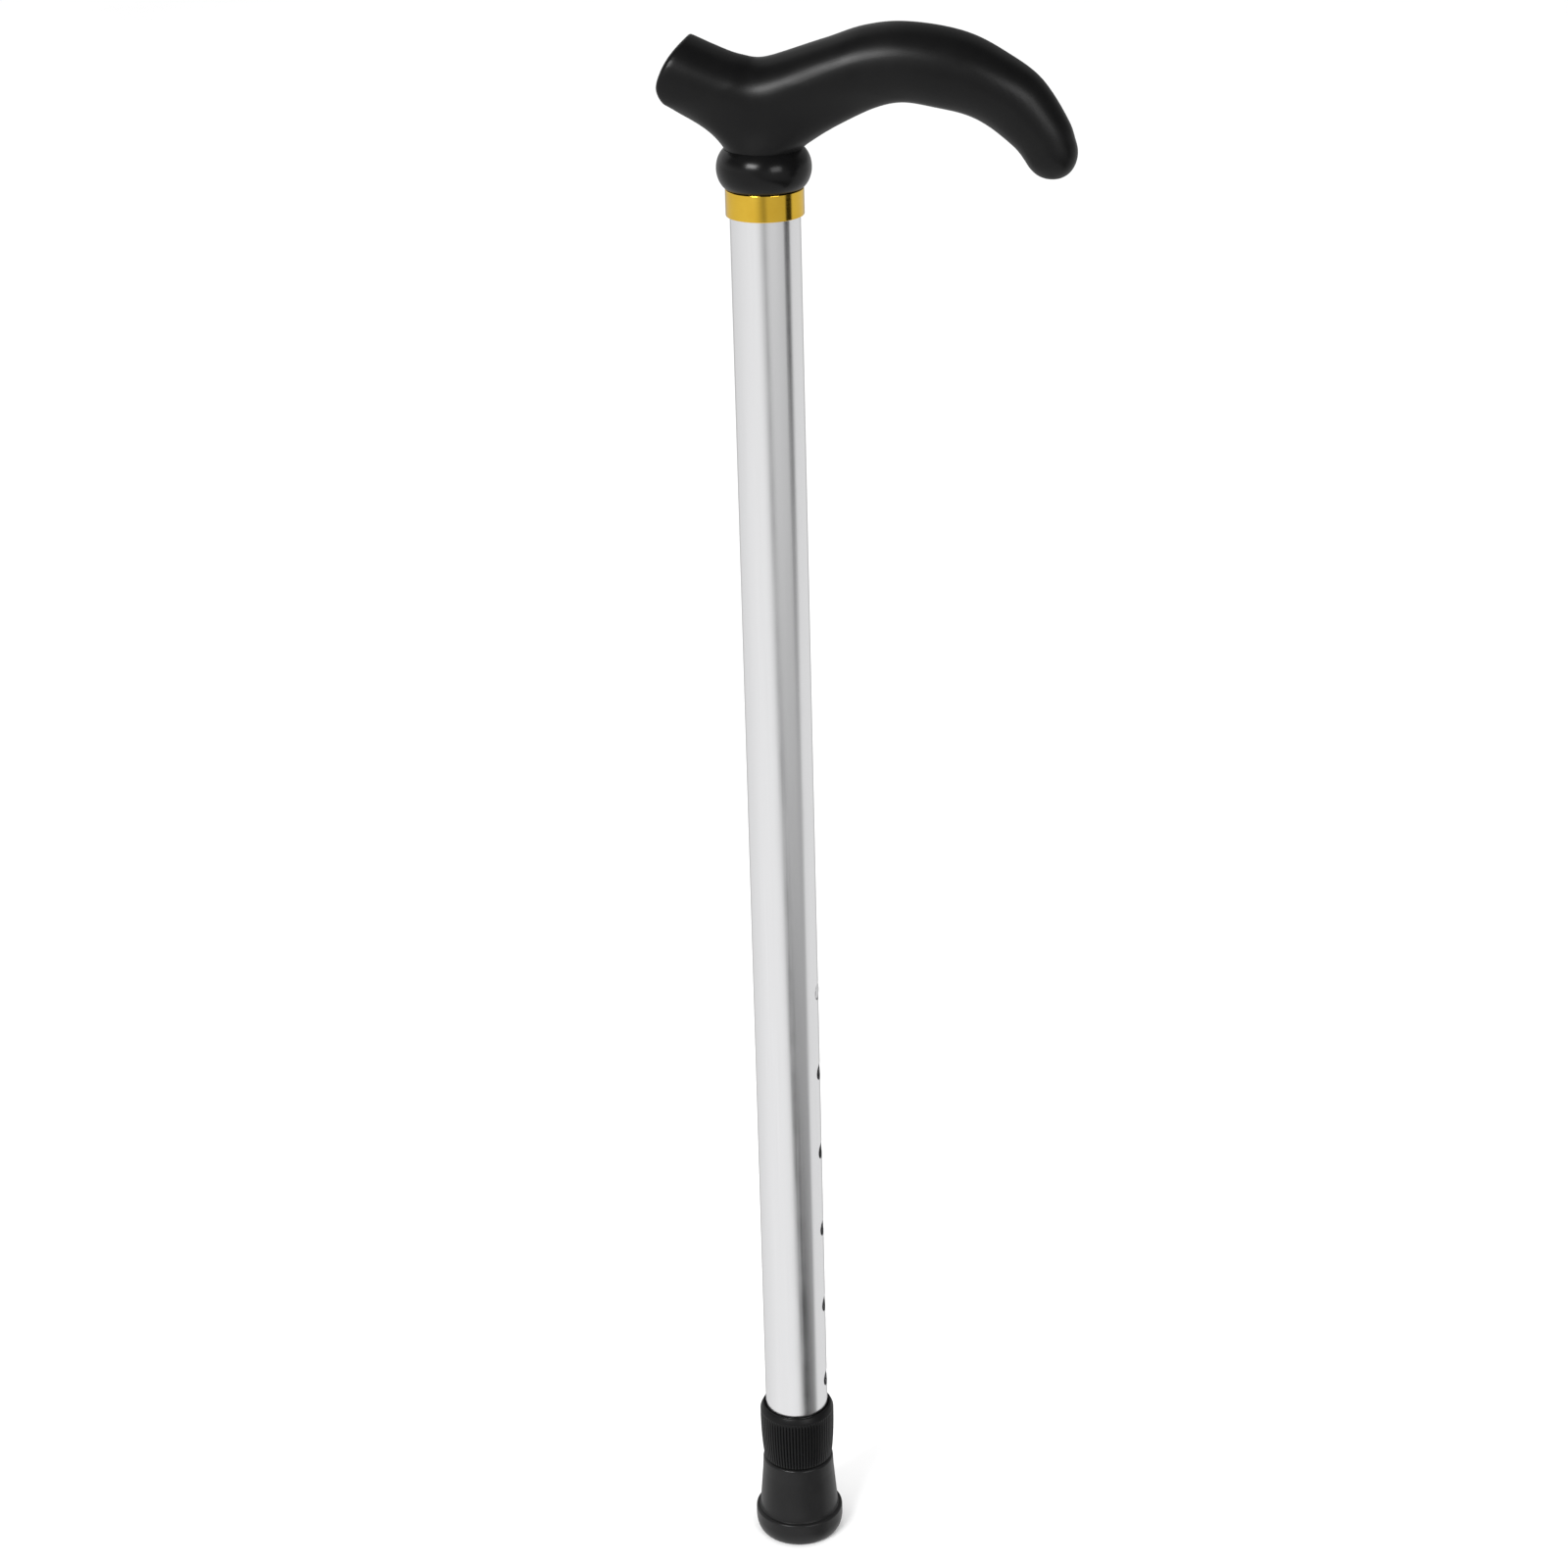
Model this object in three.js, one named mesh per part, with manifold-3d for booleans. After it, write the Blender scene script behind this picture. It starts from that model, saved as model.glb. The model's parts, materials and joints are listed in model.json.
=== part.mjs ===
// A single point cane: a height-adjustable aluminium walking stick with a moulded fritz handle.
// Millimetres, +Z up. The origin is the centre of the tread, where the ferrule meets the ground.
// The cane stands at its shortest height. Its handle points along +X, and so do the height holes.
import * as THREE from "three";
import { mergeVertices } from "three/addons/utils/BufferGeometryUtils.js";
import Module from "manifold-3d";

const wasm = await Module();
wasm.setup();

// ---------------------------------------------------------------- driving dimensions

const GAP = 0.3; // between two pieces that touch
const ROUND = 40; // facets of the tubes and of what shows round them
const HIDDEN_ROUND = 32; // facets of a round piece inside the tubes
const SMALL_ROUND = 20; // facets of a screw, pin or button

// Tubes: outer and inner radii
const UPPER_TUBE = { outer: 12.7, inner: 11.4 };
const LOWER_TUBE = { outer: 10.0, inner: 8.8 };

// Height adjustment
const HOLE_COUNT = 6;
const HOLE_PITCH = 35.3;
const TOP_HOLE_Z = 249.4;
const HOLE_RADIUS = 3.5;
const BUTTON_RADIUS = 3.2;

// Levels up the shaft, from the ground
const FERRULE_TOP = 35.2;
const RING_BOTTOM = 35.6;
const RING_TOP = 60.2;
const UPPER_TUBE_BOTTOM = 48.0;
const LOWER_TUBE_BOTTOM = 9.1;
const LOWER_TUBE_TOP = 285.0;
const BAND_BOTTOM = 556.5;
const BAND_TOP = 566.1;
const BULB_BOTTOM = 566.4;
const UPPER_TUBE_TOP = 571.0;
const BULB_TOP = 580.4;
const HANDLE_BOTTOM = BULB_TOP + GAP;

// Handle stem and its screw, from the tube up into the handle
const STEM_SPIGOT_RADIUS = 7.7;
const STEM_BOTTOM = 530.0;
const STEM_TOP = 589.0;
const STEM_BORE = 2.8;
const SCREW_RADIUS = 2.4;
const SCREW_HEAD = { radius: 4.5, height: 4.0 };
const WASHER = { outer: 5.6, inner: 2.7, height: 1.0 };
const WASHER_SEAT_Z = 553.0; // the shoulder in the stem that the washer pulls on
const INSERT = { outer: 4.0, inner: 2.7 };
const INSERT_TOP = 601.0;
const PIN_Z = 561.5;
const PIN_RADIUS = 1.5;

// Neck collar and its band
const BULB_RADIUS = 17.05;
const SKIRT_RADIUS = 13.35;
const BAND = { outer: 14.1, inner: 13.65, edge: 0.2 };

const COLOURS = {
  handle: 0x1f1f20,
  collar: 0x141415,
  brass: 0xc9962b,
  silver: 0xd4d6d8,
  steel: 0x9a9da1,
  plastic: 0x2b2c2e,
  nylon: 0xd9d6cc,
  rubber: 0x232325,
};

// ---------------------------------------------------------------- helpers

// A closed three.js geometry as a manifold solid.
function solid(geometry) {
  const bare = geometry.clone();
  bare.deleteAttribute("normal");
  bare.deleteAttribute("uv");
  const merged = mergeVertices(bare, 1e-4);
  return new wasm.Manifold(
    new wasm.Mesh({
      numProp: 3,
      vertProperties: new Float32Array(merged.attributes.position.array),
      triVerts: new Uint32Array(merged.index.array),
    }),
  );
}

// A manifold solid back as a three.js geometry.
function geometryOf(made) {
  const mesh = made.getMesh();
  const geometry = new THREE.BufferGeometry();
  geometry.setAttribute("position", new THREE.BufferAttribute(mesh.vertProperties, 3));
  geometry.setIndex(new THREE.BufferAttribute(mesh.triVerts, 1));
  return geometry;
}

function cut(body, tools) {
  const made = tools.reduce((left, tool) => left.subtract(solid(tool)), solid(body));
  return geometryOf(made);
}

// A ring or a disc turned about +Z. The outline's [radius, z] points run anticlockwise, outside first.
function turned(outline, facets = ROUND) {
  const points = outline.map(([r, z]) => new THREE.Vector2(r, z));
  const onAxis = outline[0][0] === 0;
  if (!onAxis) points.push(points[0].clone());
  return new THREE.LatheGeometry(points, facets).rotateX(Math.PI / 2);
}

// A plain cylinder along +Z from z = low to z = high.
function rod(radius, low, high, facets = SMALL_ROUND) {
  const shape = new THREE.CylinderGeometry(radius, radius, high - low, facets);
  return shape.rotateX(Math.PI / 2).translate(0, 0, (low + high) / 2);
}

// A cylinder along +X at a height, from x = from to x = to.
function crossRod(radius, from, to, z) {
  const shape = new THREE.CylinderGeometry(radius, radius, to - from, SMALL_ROUND);
  return shape.rotateZ(-Math.PI / 2).translate((from + to) / 2, 0, z);
}

function tube({ outer, inner }, low, high, facets = ROUND) {
  return turned([[outer, low], [outer, high], [inner, high], [inner, low]], facets);
}

// The points of an arc in a profile, from one angle to another, in degrees from +r towards +z.
function arc(r, z, radiusR, radiusZ, from, to, steps) {
  return Array.from({ length: steps + 1 }, (_, i) => {
    const angle = THREE.MathUtils.degToRad(from + ((to - from) * i) / steps);
    return [r + radiusR * Math.cos(angle), z + radiusZ * Math.sin(angle)];
  });
}

// A closed skin over a row of rings with the same number of points. Its ends are flat, except that a first
// ring folded into a line closes itself.
function skin(rings) {
  const folded = rings[0].every((p) => Math.abs(p.y) < 1e-6);
  const count = rings[0].length;
  const positions = rings.flat().flatMap((p) => [p.x, p.y, p.z]);
  const index = [];
  for (let i = 0; i + 1 < rings.length; i++) {
    for (let j = 0; j < count; j++) {
      const a = i * count + j;
      const b = i * count + ((j + 1) % count);
      index.push(a, b, b + count, a, b + count, a + count);
    }
  }
  const last = (rings.length - 1) * count;
  for (let j = 1; j + 1 < count; j++) {
    if (!folded) index.push(0, j + 1, j);
    index.push(last, last + j, last + j + 1);
  }
  const geometry = new THREE.BufferGeometry();
  geometry.setAttribute("position", new THREE.Float32BufferAttribute(positions, 3));
  geometry.setIndex(index);
  return geometry;
}

// ---------------------------------------------------------------- handle

// Sections of the grip from the nose to the tip: the centre's x and z, the half thickness, the half width
// across, how far the section leans from upright towards +X in degrees, and its squareness.
const GRIP_SECTIONS = [
  { x: -23.5, z: 604.1, half: 13.65, wide: 13.4, lean: 24, square: 2.2 },
  { x: -11.3, z: 599.9, half: 13.5, wide: 13.3, lean: 14.5, square: 2.1 },
  { x: 2.5, z: 597.1, half: 15.3, wide: 13.4, lean: -3, square: 2.0 },
  { x: 26.7, z: 606.0, half: 13.5, wide: 13.4, lean: -20.3, square: 2.2 },
  { x: 39.2, z: 609.4, half: 14.2, wide: 13.5, lean: -9.5, square: 2.2 },
  { x: 51.5, z: 610.8, half: 13.8, wide: 13.5, lean: 0, square: 2.2 },
  { x: 67.6, z: 608.1, half: 13.8, wide: 13.0, lean: 18.3, square: 2.2 },
  { x: 79.9, z: 603.2, half: 12.7, wide: 12.0, lean: 32.6, square: 2.1 },
  { x: 89.9, z: 596.5, half: 12.3, wide: 10.5, lean: 47.7, square: 2.0 },
  { x: 98.6, z: 586.0, half: 10.65, wide: 9.2, lean: 66, square: 2.0 },
  { x: 101.5, z: 580.8, half: 9.6, wide: 8.6, lean: 63.5, square: 2.0 },
];
const GRIP_STEPS = 30; // along the grip
const GRIP_POINTS = 24; // round each section

// The nose's end face: how far it stands out from the first section, and how much less at its top and bottom
const NOSE = { reach: 11.55, topFall: 3.35, bottomFall: 11, square: 14 };
const TIP_LENGTH = 11.0; // of the rounded tip

// The neck below the grip, at each height: how far it reaches to the left and right, its half width across,
// and its squareness.
const NECK_SECTIONS = [
  { z: HANDLE_BOTTOM, left: -13.9, right: 14.0, wide: 14.0, square: 2.0 },
  { z: 583.2, left: -16.1, right: 18.1, wide: 13.9, square: 2.1 },
  { z: 586.4, left: -19.6, right: 23.2, wide: 13.6, square: 2.2 },
  { z: 590.0, left: -25.4, right: 30.0, wide: 13.1, square: 2.35 },
  { z: 594.0, left: -31.0, right: 38.4, wide: 12.2, square: 2.5 },
  { z: 598.0, left: -27.0, right: 46.5, wide: 10.5, square: 2.5 },
  { z: 604.0, left: -14.0, right: 30.0, wide: 6.5, square: 2.5 },
];
const NECK_STEPS = 12;

// A smooth value through evenly spaced values, at t from 0 to 1.
function through(values, t) {
  const curve = new THREE.SplineCurve(values.map((v, i) => new THREE.Vector2(i, v)));
  return curve.getPoint(t).y;
}

function sectionAt(sections, t) {
  const keys = Object.keys(sections[0]);
  return Object.fromEntries(keys.map((key) => [key, through(sections.map((s) => s[key]), t)]));
}

// Where a rounded box of unit size is at a turn round it: across and up. A squareness of 2 is an ellipse.
function roundedBox(turn, square) {
  const stretch = (v) => Math.sign(v) * Math.abs(v) ** (2 / square);
  return { across: stretch(Math.cos(turn)), rise: stretch(Math.sin(turn)) };
}

// One ring of points round a leaning section. It can be smaller, or narrower across, and each point can stand
// forward along the grip by an amount that depends on its height in the section.
function gripRing({ x, z, half, wide, lean, square }, forward = () => 0, shrink = 1, narrow = 1) {
  const angle = THREE.MathUtils.degToRad(lean);
  const up = new THREE.Vector3(Math.sin(angle), 0, Math.cos(angle));
  const along = new THREE.Vector3(Math.cos(angle), 0, -Math.sin(angle));
  return Array.from({ length: GRIP_POINTS }, (_, i) => {
    const { across, rise } = roundedBox((2 * Math.PI * i) / GRIP_POINTS, square);
    const height = shrink * half * rise;
    return new THREE.Vector3(x, shrink * narrow * wide * across, z)
      .addScaledVector(up, height)
      .addScaledVector(along, forward(height));
  });
}

// How far the nose's end face stands out, at a height in the first section.
function noseReach(height) {
  const share = Math.abs(height) / GRIP_SECTIONS[0].half;
  return NOSE.reach - (height > 0 ? NOSE.topFall * share ** 1.9 : NOSE.bottomFall * share ** 3.5);
}

function gripShape() {
  const nose = GRIP_SECTIONS[0];
  const rings = [gripRing(nose, (height) => -noseReach(height), 1, 0)];
  for (const angle of [50, 30, 15]) {
    const plan = roundedBox(THREE.MathUtils.degToRad(angle), NOSE.square);
    rings.push(gripRing(nose, (height) => -noseReach(height) * plan.rise, 1, plan.across));
  }
  for (let i = 0; i <= GRIP_STEPS; i++) {
    rings.push(gripRing(sectionAt(GRIP_SECTIONS, i / GRIP_STEPS)));
  }
  const tip = GRIP_SECTIONS[GRIP_SECTIONS.length - 1];
  for (const angle of [18, 36, 54, 70, 82]) {
    const a = THREE.MathUtils.degToRad(angle);
    rings.push(gripRing(tip, () => TIP_LENGTH * Math.sin(a), Math.cos(a)));
  }
  return skin(rings);
}

function neckShape() {
  const rings = [];
  for (let i = 0; i <= NECK_STEPS; i++) {
    const { z, left, right, wide, square } = sectionAt(NECK_SECTIONS, i / NECK_STEPS);
    const middle = (left + right) / 2;
    const reach = (right - left) / 2;
    rings.push(
      Array.from({ length: GRIP_POINTS }, (_, j) => {
        const { across, rise } = roundedBox((2 * Math.PI * j) / GRIP_POINTS, square);
        return new THREE.Vector3(middle + reach * across, wide * rise, z);
      }),
    );
  }
  return skin(rings);
}

function handleGrip() {
  const whole = solid(gripShape()).add(solid(neckShape()));
  const stemSocket = solid(rod(STEM_SPIGOT_RADIUS + GAP, HANDLE_BOTTOM - 1, STEM_TOP + GAP));
  const insertSocket = solid(rod(INSERT.outer + GAP, STEM_TOP, INSERT_TOP + GAP));
  const screwTail = solid(rod(STEM_BORE, INSERT_TOP, INSERT_TOP + 4));
  return geometryOf(whole.subtract(stemSocket).subtract(insertSocket).subtract(screwTail));
}

function handleInsert() {
  return tube(INSERT, STEM_TOP + 2 * GAP, INSERT_TOP, SMALL_ROUND);
}

// ---------------------------------------------------------------- neck: collar, band, stem, screw and pins

// The bulb's side is part of an ellipse, and the skirt below it slips over the tube's top end.
function neckCollar() {
  const middle = (BULB_BOTTOM + BULB_TOP) / 2;
  const sideReach = 6.45;
  const sideAngle = 57;
  const sideHeight = (BULB_TOP - BULB_BOTTOM) / 2 / Math.sin(THREE.MathUtils.degToRad(sideAngle));
  const side = arc(BULB_RADIUS - sideReach, middle, sideReach, sideHeight, -sideAngle, sideAngle, 9);
  const bore = STEM_SPIGOT_RADIUS + GAP;
  const counterbore = UPPER_TUBE.outer + 0.25;
  return turned([
    [SKIRT_RADIUS, BAND_BOTTOM + GAP],
    [SKIRT_RADIUS, BULB_BOTTOM],
    ...side,
    [bore, BULB_TOP],
    [bore, UPPER_TUBE_TOP + GAP],
    [counterbore, UPPER_TUBE_TOP + GAP],
    [counterbore, BAND_BOTTOM + GAP],
  ]);
}

function goldBand() {
  const { outer, inner, edge } = BAND;
  return turned([
    [outer - edge, BAND_BOTTOM],
    [outer, BAND_BOTTOM + edge],
    [outer, BAND_TOP - edge],
    [outer - edge, BAND_TOP],
    [inner, BAND_TOP],
    [inner, BAND_BOTTOM],
  ]);
}

// A plug in the tube's top end, with a spigot that goes up through the collar into the handle.
function handleStem() {
  const plug = UPPER_TUBE.inner - GAP;
  const plugTop = UPPER_TUBE_TOP - 1;
  const headPocket = WASHER.outer + 2 * GAP;
  const outline = [
    [plug, STEM_BOTTOM],
    [plug, plugTop],
    [STEM_SPIGOT_RADIUS, plugTop],
    [STEM_SPIGOT_RADIUS, STEM_TOP],
    [STEM_BORE, STEM_TOP],
    [STEM_BORE, WASHER_SEAT_Z],
    [headPocket, WASHER_SEAT_Z],
    [headPocket, STEM_BOTTOM],
  ];
  return cut(turned(outline, HIDDEN_ROUND), [pinHole()]);
}

// The hole for both pins, right across the tube and the stem along Y.
function pinHole() {
  return rod(PIN_RADIUS + GAP, -16, 16).rotateX(Math.PI / 2).translate(0, 0, PIN_Z);
}

function stemPin() {
  const inner = 6.4;
  const outer = UPPER_TUBE.outer - 0.1;
  return rod(PIN_RADIUS, inner, outer).rotateX(Math.PI / 2).translate(0, 0, PIN_Z);
}

const WASHER_TOP = WASHER_SEAT_Z - GAP;
const SCREW_HEAD_TOP = WASHER_TOP - WASHER.height - GAP;

function screwWasher() {
  return tube(WASHER, WASHER_TOP - WASHER.height, WASHER_TOP, SMALL_ROUND);
}

function handleScrew() {
  const { radius, height } = SCREW_HEAD;
  const headBottom = SCREW_HEAD_TOP - height;
  const screwTop = INSERT_TOP + 3;
  const edge = 0.4;
  const outline = [
    [0, headBottom],
    [radius - edge, headBottom],
    [radius, headBottom + edge],
    [radius, SCREW_HEAD_TOP],
    [SCREW_RADIUS, SCREW_HEAD_TOP],
    [SCREW_RADIUS, screwTop - 1],
    [SCREW_RADIUS - 0.8, screwTop],
    [0, screwTop],
  ];
  const keySocket = new THREE.CylinderGeometry(2.3, 2.3, 4.4, 6);
  keySocket.rotateX(Math.PI / 2).translate(0, 0, headBottom);
  return cut(turned(outline, SMALL_ROUND), [keySocket]);
}

// ---------------------------------------------------------------- tubes

function heightHoles() {
  return Array.from({ length: HOLE_COUNT }, (_, i) =>
    crossRod(HOLE_RADIUS, 8, 16, TOP_HOLE_Z - i * HOLE_PITCH),
  );
}

function upperShaft() {
  return cut(tube(UPPER_TUBE, UPPER_TUBE_BOTTOM, UPPER_TUBE_TOP), [...heightHoles(), pinHole()]);
}

function lowerShaft() {
  const buttonHole = crossRod(HOLE_RADIUS, 4, 16, TOP_HOLE_Z);
  return cut(tube(LOWER_TUBE, LOWER_TUBE_BOTTOM, LOWER_TUBE_TOP), [buttonHole]);
}

// A cap in the inner tube's top end. Its head runs in the upper tube and keeps the inner one from rattling.
function guidePlug() {
  const low = LOWER_TUBE_TOP + GAP;
  const high = low + 6;
  const spigotLow = low - 12;
  const spigot = LOWER_TUBE.inner - GAP;
  const head = UPPER_TUBE.inner - GAP;
  const bore = 6;
  const outline = [
    [spigot, spigotLow],
    [spigot, low],
    [head - 0.5, low],
    [head, low + 0.5],
    [head, high - 1.2],
    [head - 1.2, high],
    [bore, high],
    [bore, spigotLow],
  ];
  return turned(outline, HIDDEN_ROUND);
}

// ---------------------------------------------------------------- snap button and its leaf spring

// The button lies along +X: a stamped cup with a flange that the inner tube's wall holds in.
const BUTTON_BACK = 6.4;
const BUTTON_FRONT = 12.9; // nearly flush with the outer tube
const BUTTON_WALL = 0.8;
const BUTTON_FLANGE = { radius: 4.3, thickness: 0.9 };
const BUTTON_DOME = 0.7;

function snapButton() {
  const { radius, thickness } = BUTTON_FLANGE;
  const bore = BUTTON_RADIUS - BUTTON_WALL;
  const domeStart = BUTTON_FRONT - BUTTON_DOME;
  const outline = [
    [radius, BUTTON_BACK],
    [radius, BUTTON_BACK + thickness],
    [BUTTON_RADIUS, BUTTON_BACK + thickness],
    ...arc(0, domeStart, BUTTON_RADIUS, BUTTON_DOME, 0, 75, 5),
    [0, BUTTON_FRONT],
    [0, BUTTON_FRONT - BUTTON_WALL],
    [bore, domeStart - 0.4],
    [bore, BUTTON_BACK],
  ];
  return turned(outline, SMALL_ROUND).rotateY(Math.PI / 2).translate(0, 0, TOP_HOLE_Z);
}

// The leaf's middle line in the XZ plane: down behind the button, round a bend, and up the far wall.
function leafLine(front) {
  const back = -7.5;
  const bendZ = TOP_HOLE_Z - 36;
  const bendRadius = 2.8;
  const line = [new THREE.Vector2(front, TOP_HOLE_Z + 6), new THREE.Vector2(front, TOP_HOLE_Z - 7)];
  for (let i = 0; i <= 10; i++) {
    const angle = -(Math.PI * i) / 10;
    line.push(new THREE.Vector2(bendRadius * Math.cos(angle), bendZ + bendRadius * Math.sin(angle)));
  }
  line.push(new THREE.Vector2(back, TOP_HOLE_Z - 12), new THREE.Vector2(back, TOP_HOLE_Z + 12));
  return line;
}

function buttonSpring() {
  const thickness = 0.6;
  const width = 7;
  const line = leafLine(BUTTON_BACK - GAP - thickness / 2);
  const oneSide = [];
  const otherSide = [];
  line.forEach((point, i) => {
    const before = line[Math.max(i - 1, 0)];
    const after = line[Math.min(i + 1, line.length - 1)];
    const along = after.clone().sub(before).normalize();
    const normal = new THREE.Vector2(-along.y, along.x).multiplyScalar(thickness / 2);
    oneSide.push(point.clone().add(normal));
    otherSide.unshift(point.clone().sub(normal));
  });
  const outline = new THREE.Shape([...oneSide, ...otherSide]);
  const leaf = new THREE.ExtrudeGeometry(outline, { depth: width, bevelEnabled: false });
  return leaf.rotateX(Math.PI / 2).translate(0, width / 2, 0);
}

// ---------------------------------------------------------------- lock ring and collet

const RING_RADIUS = 15.1;
const RING_THREAD_RADIUS = 12.75;
const RIB_COUNT = 72;
const RIB_DEPTH = 0.4;
const RIB_TOP = 57.4;
const COLLET_BORE = LOWER_TUBE.outer + 0.35;
const COLLET_BOTTOM = 38.2;
const COLLET_TOP = 67.0;

// What the lock ring is cut from: a disc with a fine toothed edge, and a plain one above it.
function ribbedBlank() {
  const crest = RING_RADIUS + 0.25;
  const valley = RING_RADIUS - RIB_DEPTH;
  const step = (2 * Math.PI) / RIB_COUNT;
  const points = [];
  for (let i = 0; i < RIB_COUNT; i++) {
    for (const [share, radius] of [[-0.32, crest], [0.32, crest], [0.5, valley]]) {
      const angle = (i + share) * step;
      points.push(new THREE.Vector2(radius * Math.cos(angle), radius * Math.sin(angle)));
    }
  }
  const toothed = new THREE.ExtrudeGeometry(new THREE.Shape(points), {
    depth: RIB_TOP,
    bevelEnabled: false,
  });
  const plain = rod(RING_RADIUS + 2, RIB_TOP - 0.1, RING_TOP + 1);
  return solid(toothed).add(solid(plain));
}

function lockRing() {
  const lip = UPPER_TUBE.outer + 0.5;
  const throat = 11.0;
  const stepZ = UPPER_TUBE_BOTTOM - 1.2;
  const outline = [
    [RING_RADIUS - 1.4, RING_BOTTOM],
    [RING_RADIUS - 1.1, RING_BOTTOM + 0.4],
    [RING_RADIUS - 0.3, 43],
    [RING_RADIUS, 51],
    [RING_RADIUS, RIB_TOP],
    [RING_RADIUS - 0.9, RING_TOP - 0.4],
    [RING_RADIUS - 1.3, RING_TOP],
    [lip, RING_TOP],
    [lip, stepZ],
    [RING_THREAD_RADIUS, stepZ],
    [RING_THREAD_RADIUS, 39.4],
    [throat, 37.6],
    [throat, RING_BOTTOM],
  ];
  return geometryOf(solid(turned(outline, RIB_COUNT)).intersect(ribbedBlank()));
}

// The collet: a spigot in the tube, a flange under the tube's end, and threaded fingers in the lock ring.
function lockCollet() {
  const spigot = UPPER_TUBE.inner - GAP;
  const flangeTop = UPPER_TUBE_BOTTOM - GAP;
  const crest = RING_THREAD_RADIUS - GAP;
  const root = crest - 0.5;
  const threads = [40.2, 43.2].flatMap((z) => [
    [root, z],
    [crest, z + 0.5],
    [crest, z + 1.0],
    [root, z + 1.5],
  ]);
  const outline = [
    [root - 0.75, COLLET_BOTTOM],
    [root, COLLET_BOTTOM + 1.2],
    ...threads,
    [root, 46.0],
    [crest, 46.2],
    [crest, flangeTop],
    [spigot, flangeTop],
    [spigot, COLLET_TOP - 0.6],
    [spigot - 0.4, COLLET_TOP],
    [COLLET_BORE, COLLET_TOP],
    [COLLET_BORE, COLLET_BOTTOM],
  ];
  const slot = new THREE.BoxGeometry(1.4, 30, 8).translate(0, 0, 41);
  const slots = [45, 135].map((angle) => slot.clone().rotateZ(THREE.MathUtils.degToRad(angle)));
  return cut(turned(outline, HIDDEN_ROUND), slots);
}

// ---------------------------------------------------------------- ferrule

const FOOT_RADIUS = 17.9;
const FOOT_TOP = 10.8;
const SOCKET_FLOOR = 7.0;
const TREAD_GROOVES = [4.5, 9.5]; // where each round groove in the tread starts
const TREAD_GROOVE = { width: 2.5, depth: 1.2, slope: 0.5 };

function ferrule() {
  const socket = LOWER_TUBE.outer + GAP;
  const { width, depth, slope } = TREAD_GROOVE;
  const grooves = TREAD_GROOVES.flatMap((r) => [
    [r, 0],
    [r + slope, depth],
    [r + width - slope, depth],
    [r + width, 0],
  ]);
  const corner = { reach: 3.0, height: 6.5 };
  return turned([
    [0, 0],
    ...grooves,
    [15.3, 0],
    ...arc(FOOT_RADIUS - corner.reach, corner.height, corner.reach, corner.height, -74, 0, 4),
    [FOOT_RADIUS, FOOT_TOP - 0.7],
    [FOOT_RADIUS - 0.5, FOOT_TOP - 0.2],
    [16.4, FOOT_TOP],
    [16.2, FOOT_TOP + 0.8],
    [15.45, 20],
    [14.7, 29],
    [14.4, FERRULE_TOP - 0.6],
    [13.9, FERRULE_TOP],
    [socket, FERRULE_TOP],
    [socket, SOCKET_FLOOR],
    [0, SOCKET_FLOOR],
  ]);
}

function ferruleWasher() {
  const radius = LOWER_TUBE.outer - 0.1;
  const low = SOCKET_FLOOR + GAP;
  const high = LOWER_TUBE_BOTTOM - GAP;
  return turned([[0, low], [radius, low], [radius, high], [0, high]], HIDDEN_ROUND);
}

// ---------------------------------------------------------------- assembly

function piece(name, geometry, color, roughness, metalness) {
  const mesh = new THREE.Mesh(geometry, new THREE.MeshStandardMaterial({ color, roughness, metalness }));
  mesh.name = name;
  return mesh;
}

function upperBody() {
  const group = new THREE.Group();
  group.add(
    piece("handle_grip", handleGrip(), COLOURS.handle, 0.45, 0),
    piece("handle_insert", handleInsert(), COLOURS.brass, 0.35, 1),
    piece("neck_collar", neckCollar(), COLOURS.collar, 0.2, 0),
    piece("gold_band", goldBand(), COLOURS.brass, 0.25, 1),
    piece("handle_stem", handleStem(), COLOURS.nylon, 0.6, 0),
    piece("handle_screw", handleScrew(), COLOURS.steel, 0.35, 1),
    piece("screw_washer", screwWasher(), COLOURS.steel, 0.4, 1),
    piece("stem_pin_front", stemPin(), COLOURS.steel, 0.4, 1),
    piece("stem_pin_back", stemPin().rotateZ(Math.PI), COLOURS.steel, 0.4, 1),
    piece("upper_shaft", upperShaft(), COLOURS.silver, 0.3, 1),
    piece("lock_collet", lockCollet(), COLOURS.nylon, 0.5, 0),
  );
  return group;
}

function lowerBody() {
  const group = new THREE.Group();
  group.add(
    piece("lower_shaft", lowerShaft(), COLOURS.silver, 0.3, 1),
    piece("guide_plug", guidePlug(), COLOURS.nylon, 0.5, 0),
    piece("button_spring", buttonSpring(), COLOURS.steel, 0.3, 1),
    piece("snap_button", snapButton(), COLOURS.steel, 0.25, 1),
    piece("ferrule", ferrule(), COLOURS.rubber, 0.8, 0),
    piece("ferrule_washer", ferruleWasher(), COLOURS.steel, 0.4, 1),
  );
  return group;
}

const cane = new THREE.Group();
cane.add(upperBody(), piece("lock_ring", lockRing(), COLOURS.plastic, 0.6, 0), lowerBody());

export default cane;
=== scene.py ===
import json
import math

import bmesh
import bpy
import numpy as np
from mathutils import Matrix, Vector
from mathutils.bvhtree import BVHTree


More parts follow.
